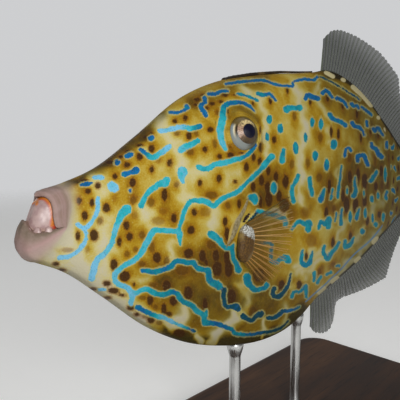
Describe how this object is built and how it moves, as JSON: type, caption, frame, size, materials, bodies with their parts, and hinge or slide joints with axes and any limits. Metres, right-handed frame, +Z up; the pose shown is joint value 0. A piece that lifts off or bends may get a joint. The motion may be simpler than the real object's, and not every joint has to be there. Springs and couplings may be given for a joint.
{
  "type": "scrawled filefish on display stand",
  "caption": "Life-size still model of a scrawled filefish with small protruding mouth, folded back spine and long soft fins, held on a flat base by upright rods.",
  "frame": {"origin": "centre of the bounding box in plan, on the underside of the stand's base", "axes": "the snout points along -X and the tail fin along +X, the fish's left side faces -Y, +Z is up"},
  "size_m": [0.5399, 0.12, 0.2566],
  "materials": {
    "skin": "velvety golden-brown skin with dark spots and blue scrawled lines",
    "lip": "moist greyish pink flesh with fine wrinkles",
    "tooth": "pinkish white enamel",
    "eye": "glossy cornea over a pale golden iris and dark pupil",
    "spine": "rough dark horn",
    "fin": "thin translucent membrane with raised rays",
    "stand_wood": "dark satin wood",
    "stand_steel": "brushed steel rod"
  },
  "bodies": {
    "root": {"head": "skin", "trunk": "skin", "tail": "skin", "lip_upper": "lip", "lip_lower": "lip", "teeth_upper": "tooth", "teeth_lower": "tooth", "eye_left": "eye", "eye_right": "eye", "dorsal_spine": "spine", "dorsal_fin": "fin", "anal_fin": "fin", "tail_fin": "fin", "pectoral_fin_left": "fin", "pectoral_fin_right": "fin", "stand_base": "stand_wood", "stand_rod_front": "stand_steel", "stand_rod_rear": "stand_steel"}
  },
  "joints": []
}
